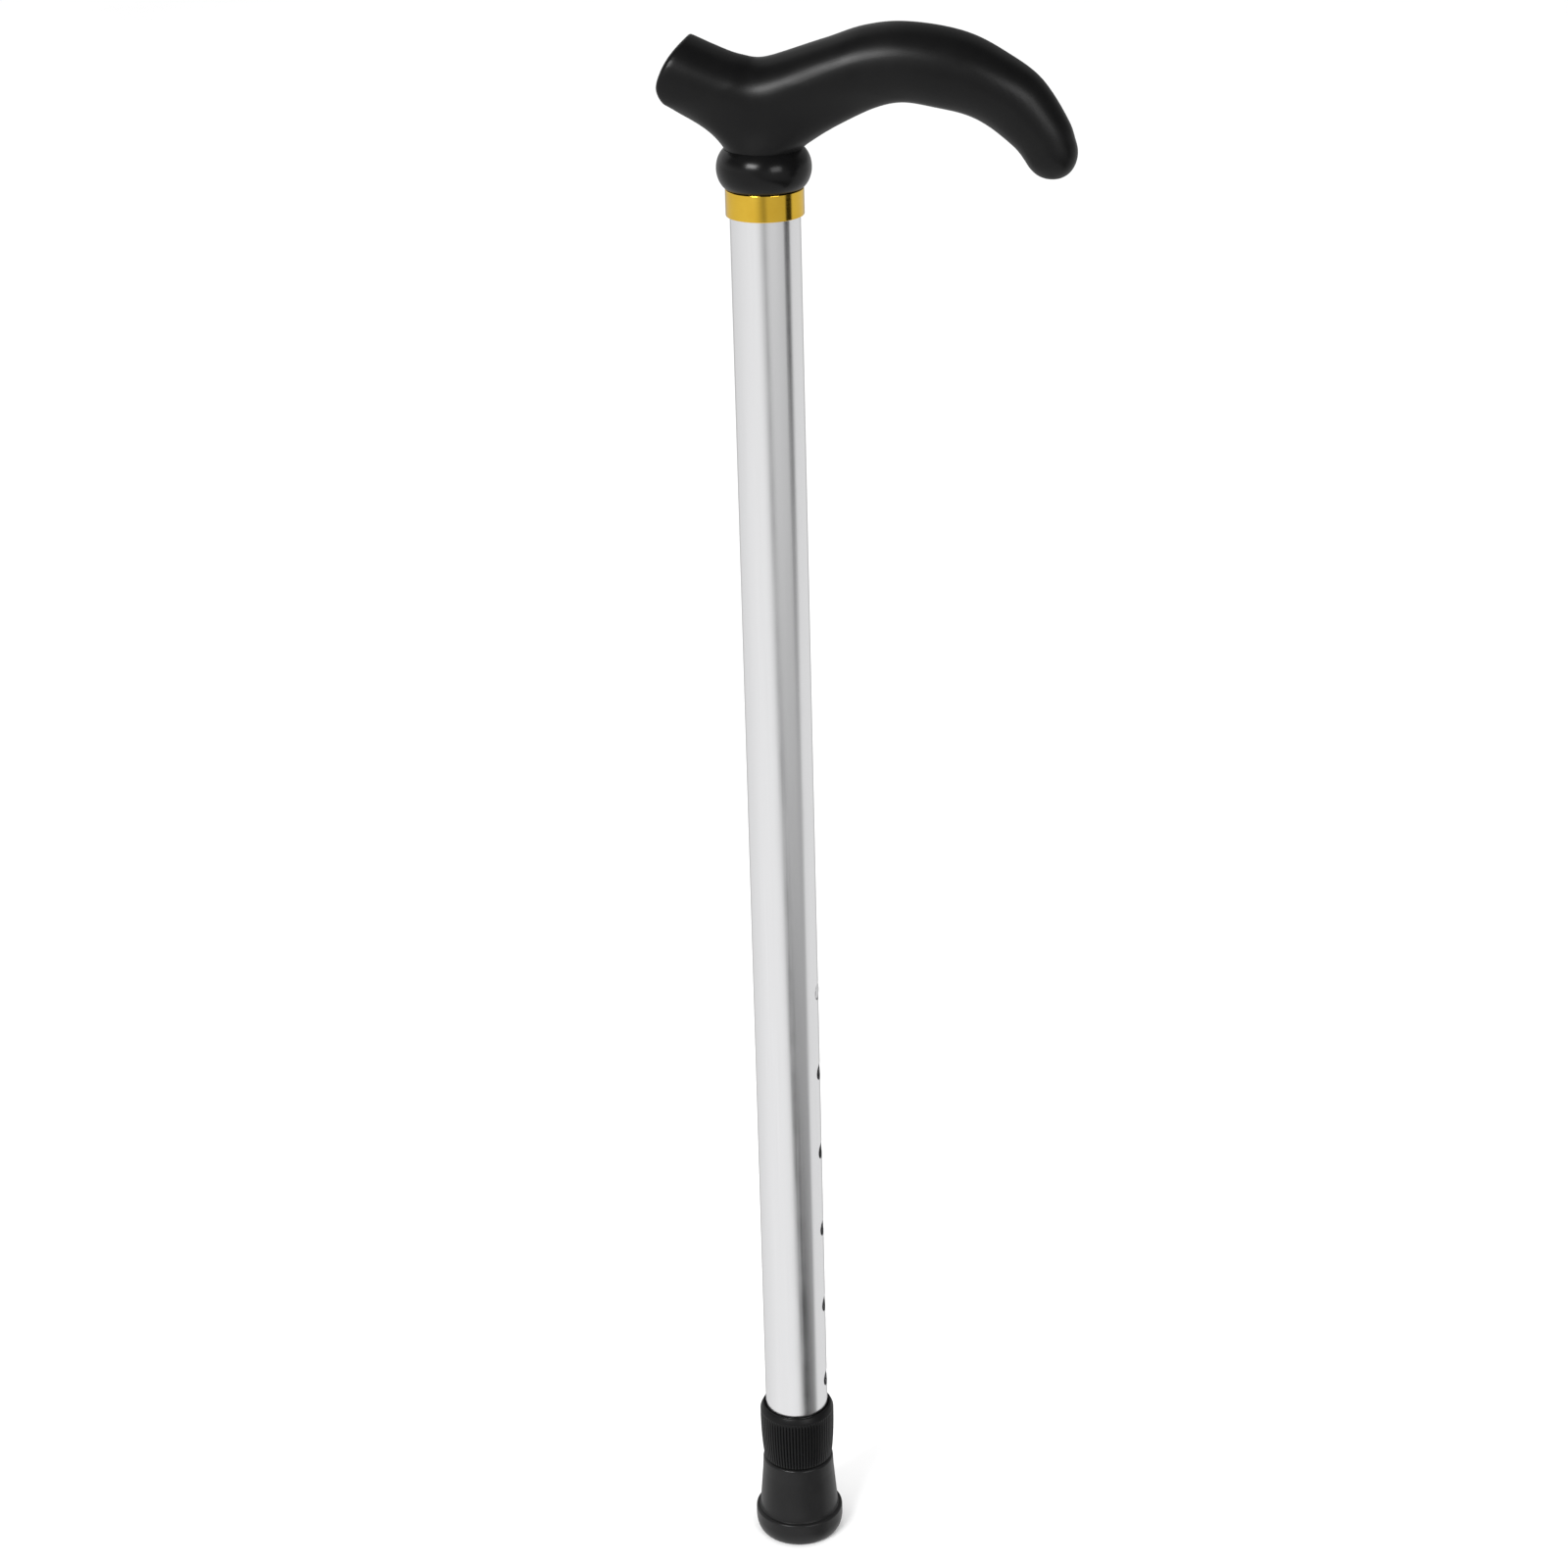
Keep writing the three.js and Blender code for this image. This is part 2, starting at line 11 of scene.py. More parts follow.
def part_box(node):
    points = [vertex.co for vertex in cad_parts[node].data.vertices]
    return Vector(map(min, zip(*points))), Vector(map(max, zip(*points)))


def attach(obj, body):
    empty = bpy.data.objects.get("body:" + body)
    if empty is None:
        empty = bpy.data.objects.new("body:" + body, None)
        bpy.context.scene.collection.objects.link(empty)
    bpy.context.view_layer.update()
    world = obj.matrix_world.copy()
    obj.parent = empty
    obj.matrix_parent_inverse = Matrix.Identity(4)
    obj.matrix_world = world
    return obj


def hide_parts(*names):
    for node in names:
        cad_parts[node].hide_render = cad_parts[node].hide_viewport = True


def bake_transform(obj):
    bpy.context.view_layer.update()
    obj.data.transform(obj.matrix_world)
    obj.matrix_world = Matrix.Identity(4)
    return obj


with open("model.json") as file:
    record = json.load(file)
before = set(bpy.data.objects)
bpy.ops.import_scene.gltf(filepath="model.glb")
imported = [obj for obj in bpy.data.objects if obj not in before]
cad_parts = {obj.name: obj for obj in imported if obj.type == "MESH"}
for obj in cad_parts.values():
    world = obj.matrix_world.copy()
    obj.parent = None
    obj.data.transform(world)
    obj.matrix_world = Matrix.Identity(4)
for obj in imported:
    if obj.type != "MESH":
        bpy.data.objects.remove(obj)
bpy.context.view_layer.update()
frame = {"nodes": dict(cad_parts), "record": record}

MM = 0.001
SEGMENTS = 160  # round the turned pieces
SMALL_SEGMENTS = 64

TUBE_COLUMNS = 192  # round the two tubes
TUBE_EDGE = 0.18  # the bevel on the tubes' ends and on their holes
HOLE_MARGIN_ACROSS, HOLE_MARGIN_UP = 1.3, 1.6  # how much wall round a hole is cut finer
HOLE_ROWS = 10
HOLE_RINGS = (0.62, 0.3, 0.08, 0.0)  # rings from that wall in to the hole's rim


def levels(node):
    """The bottom and the top of a CAD node, in millimetres."""
    low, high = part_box(node)
    return low.z / MM, high.z / MM


# As in the CAD: the button's axis with the row of height holes below it, the holes for the stem's
# pins, and the tubes' radii
button_low, button_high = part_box("snap_button")
BUTTON_Z = (button_low.z + button_high.z) / 2 / MM
HOLE_PITCH, HOLE_COUNT, HOLE_RADIUS = 35.3, 6, 3.5
PIN_Z, PIN_RADIUS = 561.5, 1.8
UPPER_OUTER, UPPER_INNER = 12.7, 11.4
LOWER_OUTER, LOWER_INNER = 10.0, 8.8


# ---------------------------------------------------------------- meshes

def build(name, points, faces, sharp=32):
    """A smooth-shaded mesh object from points in millimetres."""
    mesh = bpy.data.meshes.new(name)
    mesh.from_pydata([(x * MM, y * MM, z * MM) for x, y, z in points], [], faces)
    mesh.validate()
    work = bmesh.new()
    work.from_mesh(mesh)
    bmesh.ops.remove_doubles(work, verts=work.verts, dist=1e-7)
    bmesh.ops.recalc_face_normals(work, faces=work.faces)
    work.to_mesh(mesh)
    work.free()
    mesh.polygons.foreach_set("use_smooth", [True] * len(mesh.polygons))
    mesh.set_sharp_from_angle(angle=math.radians(sharp))
    piece = bpy.data.objects.new(name, mesh)
    bpy.context.scene.collection.objects.link(piece)
    return piece


def flat_faces(piece):
    """Keeps the long faces straight in the shading, so that only the narrow rounded edges turn."""
    modifier = piece.modifiers.new("weighted", "WEIGHTED_NORMAL")
    modifier.mode = "FACE_AREA"
    modifier.weight = 80
    modifier.keep_sharp = True
    return piece


def rounded(corners, steps=5):
    """A closed outline with its corners rounded off. Each corner is (r, z) or (r, z, radius)."""
    outline = []
    count = len(corners)
    for i, corner in enumerate(corners):
        here = Vector(corner[:2])
        radius = corner[2] if len(corner) > 2 else 0
        if not radius:
            outline.append(tuple(here))
            continue
        before = (Vector(corners[i - 1][:2]) - here).normalized()
        after = (Vector(corners[(i + 1) % count][:2]) - here).normalized()
        half = before.angle(after) / 2
        reach = radius / math.tan(half)
        middle = here + (before + after).normalized() * (radius / math.sin(half))
        start = here + before * reach - middle
        sweep = start.angle_signed(here + after * reach - middle)
        for step in range(steps + 1):
            turn = Matrix.Rotation(-sweep * step / steps, 2)
            outline.append(tuple(middle + turn @ start))
    return outline


def turned(name, outline, segments=SEGMENTS, shape=None, x_axis_height=None, sharp=32):
    """A closed outline of (r, z) turned about +Z, or about +X at a height.

    shape(r, z, angle) gives the radius where the piece isn't round.
    """
    points, faces, rows = [], [], []
    for r, z in outline:
        if r < 1e-6:
            rows.append([len(points)])
            points.append((0, 0, z))
            continue
        rows.append(list(range(len(points), len(points) + segments)))
        for i in range(segments):
            angle = 2 * math.pi * i / segments
            radius = shape(r, z, angle) if shape else r
            points.append((radius * math.cos(angle), radius * math.sin(angle), z))
    for a, b in zip(rows, rows[1:] + rows[:1]):
        if len(a) == 1 and len(b) == 1:
            continue
        for i in range(segments):
            j = (i + 1) % segments
            ring = [a[i % len(a)], a[j % len(a)], b[j % len(b)], b[i % len(b)]]
            faces.append(list(dict.fromkeys(ring)))
    if x_axis_height is not None:
        points = [(z, y, x_axis_height - x) for x, y, z in points]
    return flat_faces(build(name, points, faces, sharp))


def pierced_tube(name, node, outer, inner, holes):
    """A tube along +Z as long as its node, with round holes drilled square through its wall.

    Each hole is (angle in degrees, z, radius). The holes' own walls get the second material, which
    paints them near-black as the shade inside the holes.
    """
    columns, edge = TUBE_COLUMNS, TUBE_EDGE
    step = 2 * math.pi / columns
    low, high = levels(node)
    low, high = low + edge, high - edge
    cells = []
    heights = {low, high}
    for degrees, z, radius in holes:
        half = math.ceil(math.asin((radius + HOLE_MARGIN_ACROSS) / outer) / step)
        rise = radius + HOLE_MARGIN_UP
        rows_z = [round(z - rise + 2 * rise * k / HOLE_ROWS, 5) for k in range(HOLE_ROWS + 1)]
        heights.update(rows_z)
        centre = round(math.radians(degrees) / step)
        cells.append({"centre": centre, "half": half, "z": z, "radius": radius, "rows": rows_z})
    heights = sorted(heights)
    points, faces, walls_of_holes = [], [], []

    def add(r, angle, z):
        points.append((r * math.cos(angle), r * math.sin(angle), z))
        return len(points) - 1

    walls = []
    for wall in (outer, inner):
        inset = edge if wall == outer else -edge
        rows = [[add(wall, c * step, z) for c in range(columns)] for z in heights]
        ends = (low - edge, high + edge)
        rims = [[add(wall - inset, c * step, z) for c in range(columns)] for z in ends]
        skip = set()
        for cell in cells:
            first, last = heights.index(cell["rows"][0]), heights.index(cell["rows"][-1])
            for row in range(first, last):
                for c in range(cell["centre"] - cell["half"], cell["centre"] + cell["half"]):
                    skip.add((row, c % columns))
        for row in range(len(rows) - 1):
            for c in range(columns):
                if (row, c) not in skip:
                    d = (c + 1) % columns
                    faces.append((rows[row][c], rows[row][d], rows[row + 1][d], rows[row + 1][c]))
        for c in range(columns):
            d = (c + 1) % columns
            faces.append((rims[0][c], rims[0][d], rows[0][d], rows[0][c]))
            faces.append((rows[-1][c], rows[-1][d], rims[1][d], rims[1][c]))
        walls.append((wall, rows, rims))
    for end in (0, 1):
        for c in range(columns):
            d = (c + 1) % columns
            a, b = walls[0][2][end], walls[1][2][end]
            faces.append((a[c], a[d], b[d], b[c]))

    def loop_of(cell, rows):
        """The border of the opening left for a hole: its points, and their rows and columns."""
        first, last = heights.index(cell["rows"][0]), heights.index(cell["rows"][-1])
        left, right = cell["centre"] - cell["half"], cell["centre"] + cell["half"]
        ring = [(first, c) for c in range(left, right)]
        ring += [(row, right) for row in range(first, last)]
        ring += [(last, c) for c in range(right, left, -1)]
        ring += [(row, left) for row in range(last, first, -1)]
        return [rows[row][c % columns] for row, c in ring], ring

    def join(a, b):
        for i in range(len(a)):
            j = (i + 1) % len(a)
            faces.append((a[i], a[j], b[j], b[i]))

    for cell in cells:
        radius, z = cell["radius"], cell["z"]
        turn = cell["centre"] * step
        rim_loops, directions = [], None
        for wall, rows, _ in walls:
            boundary, ring = loop_of(cell, rows)
            flat = [(wall * math.sin((c - cell["centre"]) * step), heights[row] - z)
                    for row, c in ring]
            if directions is None:
                directions = [math.atan2(v, u) for u, v in flat]
            previous = boundary
            for share in HOLE_RINGS:
                ring_points = []
                for (u, v), direction in zip(flat, directions):
                    rim = radius + edge
                    x = share * u + (1 - share) * rim * math.cos(direction)
                    y = share * v + (1 - share) * rim * math.sin(direction)
                    ring_points.append(add(wall, turn + math.asin(x / wall), z + y))
                join(previous, ring_points)
                previous = ring_points
            depth = wall - edge if wall == outer else wall + edge
            lip = []
            for direction in directions:
                across = radius * math.cos(direction)
                reach = math.sqrt(depth * depth - across * across)
                angle = turn + math.atan2(across, reach)
                lip.append(add(math.hypot(reach, across), angle, z + radius * math.sin(direction)))
            join(previous, lip)
            rim_loops.append(lip)
        drilled = len(faces)
        join(rim_loops[0], rim_loops[1])
        walls_of_holes.extend(range(drilled, len(faces)))
    piece = build(name, points, faces)
    for index in walls_of_holes:
        piece.data.polygons[index].material_index = 1
    return flat_faces(piece)


# ---------------------------------------------------------------- the handle

# The same sections as the CAD grip: centre x and z, half thickness, half width across, lean in
# degrees, and squareness (2 is an ellipse, more is squarer)
GRIP_SECTIONS = [
    (-23.5, 604.1, 13.65, 13.4, 24, 2.2),
    (-11.3, 599.9, 13.5, 13.3, 14.5, 2.1),
    (2.5, 597.1, 15.3, 13.4, -3, 2.0),
    (26.7, 606.0, 13.5, 13.4, -20.3, 2.2),
    (39.2, 609.4, 14.2, 13.5, -9.5, 2.2),
    (51.5, 610.8, 13.8, 13.5, 0, 2.2),
    (67.6, 608.1, 13.8, 13.0, 18.3, 2.2),
    (79.9, 603.2, 12.7, 12.0, 32.6, 2.1),
    (89.9, 596.5, 12.3, 10.5, 47.7, 2.0),
    (98.6, 586.0, 10.65, 9.2, 66, 2.0),
    (101.5, 580.8, 9.6, 8.6, 63.5, 2.0),
]
GRIP_RINGS = 150
GRIP_POINTS = 96
NOSE_REACH = 11.55  # how far the nose's end stands out from the first section
NOSE_TOP_FALL, NOSE_BOTTOM_FALL = 3.35, 11.0  # how much less it does at its top and bottom edges
NOSE_BOXINESS = 14  # of the nose in plan: 2 is an ellipse, more is squarer
NOSE_TURNS = (90, 88, 85, 81, 76, 70, 64, 58, 52, 46, 40, 34, 28, 22, 17, 12, 8, 5, 3, 1.5)
TIP_LENGTH = 11.0
TIP_TURNS = (6, 12, 18, 25, 32, 39, 46, 53, 60, 67, 74, 80, 85, 88)

# The neck's sections: z, how far it reaches to the left and right, half width across, squareness
NECK_SECTIONS = [
    (580.7, -13.9, 14.0, 14.0, 2.0),
    (583.2, -16.1, 18.1, 13.9, 2.1),
    (586.4, -19.6, 23.2, 13.6, 2.2),
    (590.0, -25.4, 30.0, 13.1, 2.35),
    (594.0, -31.0, 38.4, 12.2, 2.5),
    (598.0, -27.0, 46.5, 10.5, 2.5),
    (604.0, -14.0, 30.0, 6.5, 2.5),
]
NECK_RINGS = 60
NECK_FOOT_RINGS, NECK_FOOT_STEP = 3, 0.5  # straight rings below the neck, which are cut off later

VOXEL = 0.65  # of the mesh that joins the grip and the neck
CREASE_REACH = 4.5  # how far from both the join is smoothed
TIP_START, TIP_REACH = 97, 5  # where the tip is smoothed
CREASE_PASSES, VOXEL_PASSES, TIP_PASSES = 160, 3, 24
# The socket for the stem, the screw and the insert, as (r, z)
SOCKET = [(0, 578), (8.0, 578), (8.0, 589.3), (4.3, 589.3), (4.3, 601.3), (2.8, 601.3), (2.8, 605),
          (0, 605)]


def through(values, t):
    """A Catmull-Rom curve through evenly spaced values, at t from 0 to 1."""
    place = t * (len(values) - 1)
    i = min(int(place), len(values) - 2)
    u = place - i
    a = values[max(i - 1, 0)]
    b, c = values[i], values[i + 1]
    d = values[min(i + 2, len(values) - 1)]
    v0, v1 = (c - a) / 2, (d - b) / 2
    cubic, square = 2 * b - 2 * c + v0 + v1, -3 * b + 3 * c - 2 * v0 - v1
    return cubic * u**3 + square * u**2 + v0 * u + b


def section_at(sections, t):
    """The section at t from 0 to 1 along a row of sections."""
    return [through([s[k] for s in sections], t) for k in range(len(sections[0]))]


def superellipse(turn, power):
    """How far across and how far up a rounded box reaches, for a turn round it."""
    across = math.copysign(abs(math.cos(turn)) ** (2 / power), math.cos(turn))
    rise = math.copysign(abs(math.sin(turn)) ** (2 / power), math.sin(turn))
    return across, rise


def grip_ring(section, shrink=1.0, forward=0.0, narrow=1.0):
    """One ring round a leaning section. forward may depend on the height in the section."""
    x, z, half, wide, lean, squareness = section
    lean = math.radians(lean)
    ring = []
    for i in range(GRIP_POINTS):
        across, rise = superellipse(2 * math.pi * i / GRIP_POINTS, squareness)
        up = shrink * half * rise
        ahead = forward(up) if callable(forward) else forward
        px = x + up * math.sin(lean) + ahead * math.cos(lean)
        pz = z + up * math.cos(lean) - ahead * math.sin(lean)
        ring.append((px, shrink * narrow * wide * across, pz))
    return ring


def skin(rings):
    """A closed skin over rings of equal number. A first ring that is folded flat closes itself."""
    count = len(rings[0])
    points = [p for ring in rings for p in ring]
    faces = [list(range(len(points) - count, len(points)))]
    if max(p[1] for p in rings[0]) > 1e-6:
        faces.append(list(range(count)))
    for row in range(len(rings) - 1):
        for i in range(count):
            j = (i + 1) % count
            a = row * count
            faces.append((a + i, a + j, a + count + j, a + count + i))
    return points, faces


def nose_reach(up):
    """How far the nose's end stands out at a height: less towards its top and bottom edges."""
    share = min(1, abs(up) / GRIP_SECTIONS[0][2])
    return NOSE_REACH - (NOSE_TOP_FALL * share**1.9 if up > 0 else NOSE_BOTTOM_FALL * share**3.5)


def grip_skin():
    """The grip from its folded nose to its rounded tip."""
    rings = []
    for degrees in NOSE_TURNS:
        narrow, share = superellipse(math.radians(degrees), NOSE_BOXINESS)
        if degrees == 90:
            narrow = 0
        rings.append(grip_ring(GRIP_SECTIONS[0], forward=lambda up: -nose_reach(up) * share,
                               narrow=narrow))
    for i in range(GRIP_RINGS + 1):
        rings.append(grip_ring(section_at(GRIP_SECTIONS, i / GRIP_RINGS)))
    for degrees in TIP_TURNS:
        a = math.radians(degrees)
        rings.append(grip_ring(GRIP_SECTIONS[-1], math.cos(a), TIP_LENGTH * math.sin(a)))
    return skin(rings)


def neck_skin():
    rings = []
    for i in range(-NECK_FOOT_RINGS, NECK_RINGS + 1):
        z, left, right, wide, power = section_at(NECK_SECTIONS, max(i, 0) / NECK_RINGS)
        z += NECK_FOOT_STEP * min(i, 0)
        middle, reach = (left + right) / 2, (right - left) / 2
        around = [superellipse(2 * math.pi * k / GRIP_POINTS, power) for k in range(GRIP_POINTS)]
        rings.append([(middle + reach * across, wide * rise, z) for across, rise in around])
    return skin(rings)


def settle(mesh, weights, passes):
    """Moves each vertex towards the middle of its neighbours, by its weight, in each pass."""
    count = len(mesh.vertices)
    place = np.empty(count * 3)
    mesh.vertices.foreach_get("co", place)
    place = place.reshape(-1, 3)
    ends = np.empty(len(mesh.edges) * 2, int)
    mesh.edges.foreach_get("vertices", ends)
    a, b = ends[0::2], ends[1::2]
    number = np.maximum(np.bincount(np.concatenate((a, b)), minlength=count), 1)
    for _ in range(passes):
        total = np.empty_like(place)
        for k in range(3):
            total[:, k] = np.bincount(a, place[b, k], count) + np.bincount(b, place[a, k], count)
        place += (total / number[:, None] - place) * weights[:, None]
    mesh.vertices.foreach_set("co", place.ravel())
    mesh.update()


def apply_modifier(piece, kind, **settings):
    """Bakes one modifier into the piece's mesh."""
    modifier = piece.modifiers.new(kind.lower(), kind)
    for key, value in settings.items():
        setattr(modifier, key, value)
    evaluated = piece.evaluated_get(bpy.context.evaluated_depsgraph_get())
    made = bpy.data.meshes.new_from_object(evaluated)
    piece.modifiers.clear()
    piece.data = made


def smooth_joins(mesh, trees):
    """Smooths the crease where the neck joins the grip, the voxel steps and the tip."""
    near_both, near_tip = [], []
    for vertex in mesh.vertices:
        far = max(tree.find_nearest(vertex.co)[3] for tree in trees)
        near_both.append(max(0.0, min(1.0, 1.3 - far / (CREASE_REACH * MM))))
    settle(mesh, 0.5 * np.array(near_both), CREASE_PASSES)
    settle(mesh, np.full(len(mesh.vertices), 0.4), VOXEL_PASSES)
    for vertex in mesh.vertices:
        near_tip.append(max(0.0, min(1.0, (vertex.co.x / MM - TIP_START) / TIP_REACH)))
    settle(mesh, 0.5 * np.array(near_tip), TIP_PASSES)


def cut_below(mesh, low):
    """Cuts a closed mesh off flat below a height in metres."""
    work = bmesh.new()
    work.from_mesh(mesh)
    every = work.verts[:] + work.edges[:] + work.faces[:]
    bmesh.ops.bisect_plane(work, geom=every, plane_co=(0, 0, low), plane_no=(0, 0, -1),
                           clear_outer=True)
    bmesh.ops.holes_fill(work, edges=[e for e in work.edges if e.is_boundary])
    bmesh.ops.recalc_face_normals(work, faces=work.faces)
    work.to_mesh(mesh)
    work.free()


def handle():
    """The grip and the neck as one smooth mesh, cut flat below and hollowed for the stem."""
    points, faces = grip_skin()
    neck_points, neck_faces = neck_skin()
    grip = build("grip_part", points, faces)
    neck = build("neck_part", neck_points, neck_faces)
    trees = [BVHTree.FromObject(o, bpy.context.evaluated_depsgraph_get()) for o in (grip, neck)]
    start = len(points)
    faces = faces + [[start + k for k in face] for face in neck_faces]
    piece = build("handle", points + neck_points, faces)
    for part in (grip, neck):
        bpy.data.objects.remove(part)
    apply_modifier(piece, "REMESH", mode="VOXEL", voxel_size=VOXEL * MM, adaptivity=0.0)
    smooth_joins(piece.data, trees)
    cut_below(piece.data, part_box("handle_grip")[0].z)
    socket = turned("socket", SOCKET, SMALL_SEGMENTS)
    apply_modifier(piece, "BOOLEAN", object=socket, operation="DIFFERENCE", solver="EXACT")
    bpy.data.objects.remove(socket)
    mesh = piece.data
    mesh.polygons.foreach_set("use_smooth", [True] * len(mesh.polygons))
    mesh.set_sharp_from_angle(angle=math.radians(50))
    return piece


# ---------------------------------------------------------------- turned pieces

def neck_bulb():
    """The bulb, cut off flat at both ends, with its skirt over the tube's top."""
    low, top = levels("neck_collar")
    bottom = levels("gold_band")[1] + 0.3
    radius, reach, lean = 17.05, 6.45, math.radians(57)
    skirt, bore, tube_stop = 13.35, 12.95, 571.3
    middle, steps = (bottom + top) / 2, 30
    rise = (top - bottom) / 2 / math.sin(lean)
    side = []
    for i in range(steps + 1):
        a = lean * (2 * i / steps - 1)
        side.append((radius - reach + reach * math.cos(a), middle + rise * math.sin(a)))
    end = side[0][0] - 0.3
    outline = [(skirt, low), (skirt, bottom), (end, bottom)] + side + [(end, top)]
    outline += [(8.0, top), (8.0, tube_stop), (bore, tube_stop), (bore, low)]
    return turned("neck_bulb", outline)


def band():
    low, high = levels("gold_band")
    outer, inner = 14.1, 13.65
    corners = [(outer, low, 0.22), (outer, high, 0.36), (inner, high), (inner, low)]
    return turned("band", rounded(corners), 192)


def lock_ring():
    """The lock ring. Its ribs run from just above its foot to a smooth rounded rim."""
    low, high = levels("lock_ring")
    rib_top, depth, ribs = high - 2.8, 0.5, 72
    lowest, rows = low + 0.4, 14
    side = []
    for k in range(rows + 1):
        share = k / rows
        side.append((14.0 + 1.1 * (1 - (1 - share) ** 2.6), lowest + (rib_top - lowest) * share))
    outline = [(13.4, low), (13.7, low + 0.05), (13.9, low + 0.2)] + side
    outline += [(15.1, rib_top + 0.25), (15.05, rib_top + 0.6), (14.9, rib_top + 1.05),
                (14.62, rib_top + 1.6), (14.25, high - 0.42), (14.05, high - 0.14),
                (13.8, high), (13.5, high), (13.3, high - 0.07), (13.2, high - 0.25),
                (13.2, 46.8), (12.75, 46.8), (12.75, 39.4), (11.0, 37.6),
                (11.0, low + 0.1), (11.1, low)]
    bore_edge = 13.5

    def ribbed(r, z, angle):
        if r < bore_edge:
            return r
        window = min(1, max(0, (rib_top + 0.2 - z) / 0.5)) * min(1, max(0, (z - low) / 0.5))
        wave = 0.5 + 0.5 * math.cos(ribs * angle)
        groove = 1 - min(1, wave * 1.9) ** 0.8
        return r - depth * groove * window

    return turned("lock_ring_ribbed", outline, ribs * 8, ribbed, sharp=40)


def ferrule():
    """The rubber boot: two round grooves in its tread, a rounded foot and a tapering leg."""
    top = levels("ferrule")[1]
    groove, socket, socket_floor = 1.2, 10.3, 7.0
    corners = [(0, 0)]
    for start in (4.5, 9.5):
        corners += [(start, 0, 0.15), (start + 0.5, groove, 0.2), (start + 2.0, groove, 0.2),
                    (start + 2.5, 0, 0.15)]
    corners += [(14.9, 0)]
    for a in np.radians(np.linspace(-82, 0, 16)):
        corners += [(14.9 + 3 * math.cos(a), 6.5 + 6.5 * math.sin(a))]
    corners += [(17.9, 10.8, 1.0), (16.45, 10.8, 0.35), (16.15, 11.6, 0.8), (15.45, 20, 20),
                (14.7, 29, 20), (14.4, top, 1.2), (socket, top, 0.4), (socket, socket_floor),
                (0, socket_floor)]
    return turned("ferrule_boot", rounded(corners, 8))


def button():
    """The snap button, a cup that lies along +X with a flange behind the tube's wall."""
    radius, shoulder, dome, back = 3.2, 12.2, 0.7, 6.4
    outline = [(4.3, back), (4.3, 7.3), (radius, 7.3)]
    for a in np.radians(np.linspace(0, 86, 14)):
        outline += [(radius * math.cos(a), shoulder + dome * math.sin(a))]
    outline += [(0, 12.9), (0, 12.1), (1.5, 12.0), (2.4, 11.7), (2.4, back)]
    return turned("button_cup", outline, SMALL_SEGMENTS, x_axis_height=BUTTON_Z)


def straight(start, end, steps, last):
    """Points along a straight line after its start: the first `last` of that many steps."""
    way = np.subtract(end, start)
    return [tuple(np.add(start, way * k / steps)) for k in range(1, last + 1)]


def leaf_spring():
    """The CAD leaf, cut finer along its length."""
    width, thick = 3.5, 0.6
    top, front, back, turn_radius = BUTTON_Z, 5.8, -7.5, 2.8
    bend = top - 36
    line = [(front, top + 6)]
    line += [(front, top + 6 - 13 * k / 8) for k in range(1, 9)]
    line += straight((front, top - 7), (turn_radius, bend), 12, 11)
    for a in np.linspace(0, math.pi, 17):
        line += [(turn_radius * math.cos(a), bend - turn_radius * math.sin(a))]
    line += straight((-turn_radius, bend), (back, top - 12), 12, 12)
    line += [(back, top - 12 + 24 * k / 8) for k in range(1, 9)]
    points, faces = [], []
    for i, here in enumerate(line):
        before, after = Vector(line[max(i - 1, 0)]), Vector(line[min(i + 1, len(line) - 1)])
        along = (after - before).normalized()
        normal = Vector((-along.y, along.x)) * thick / 2
        for side, y in ((1, width), (1, -width), (-1, -width), (-1, width)):
            points.append((here[0] + side * normal.x, y, here[1] + side * normal.y))
    for i in range(len(line) - 1):
        for k in range(4):
            n = (k + 1) % 4
            faces.append((4 * i + k, 4 * i + n, 4 * i + 4 + n, 4 * i + 4 + k))
    last = len(points) - 4
    faces += [(0, 1, 2, 3), (last, last + 1, last + 2, last + 3)]
    return build("leaf", points, faces, 40)


# ---------------------------------------------------------------- materials

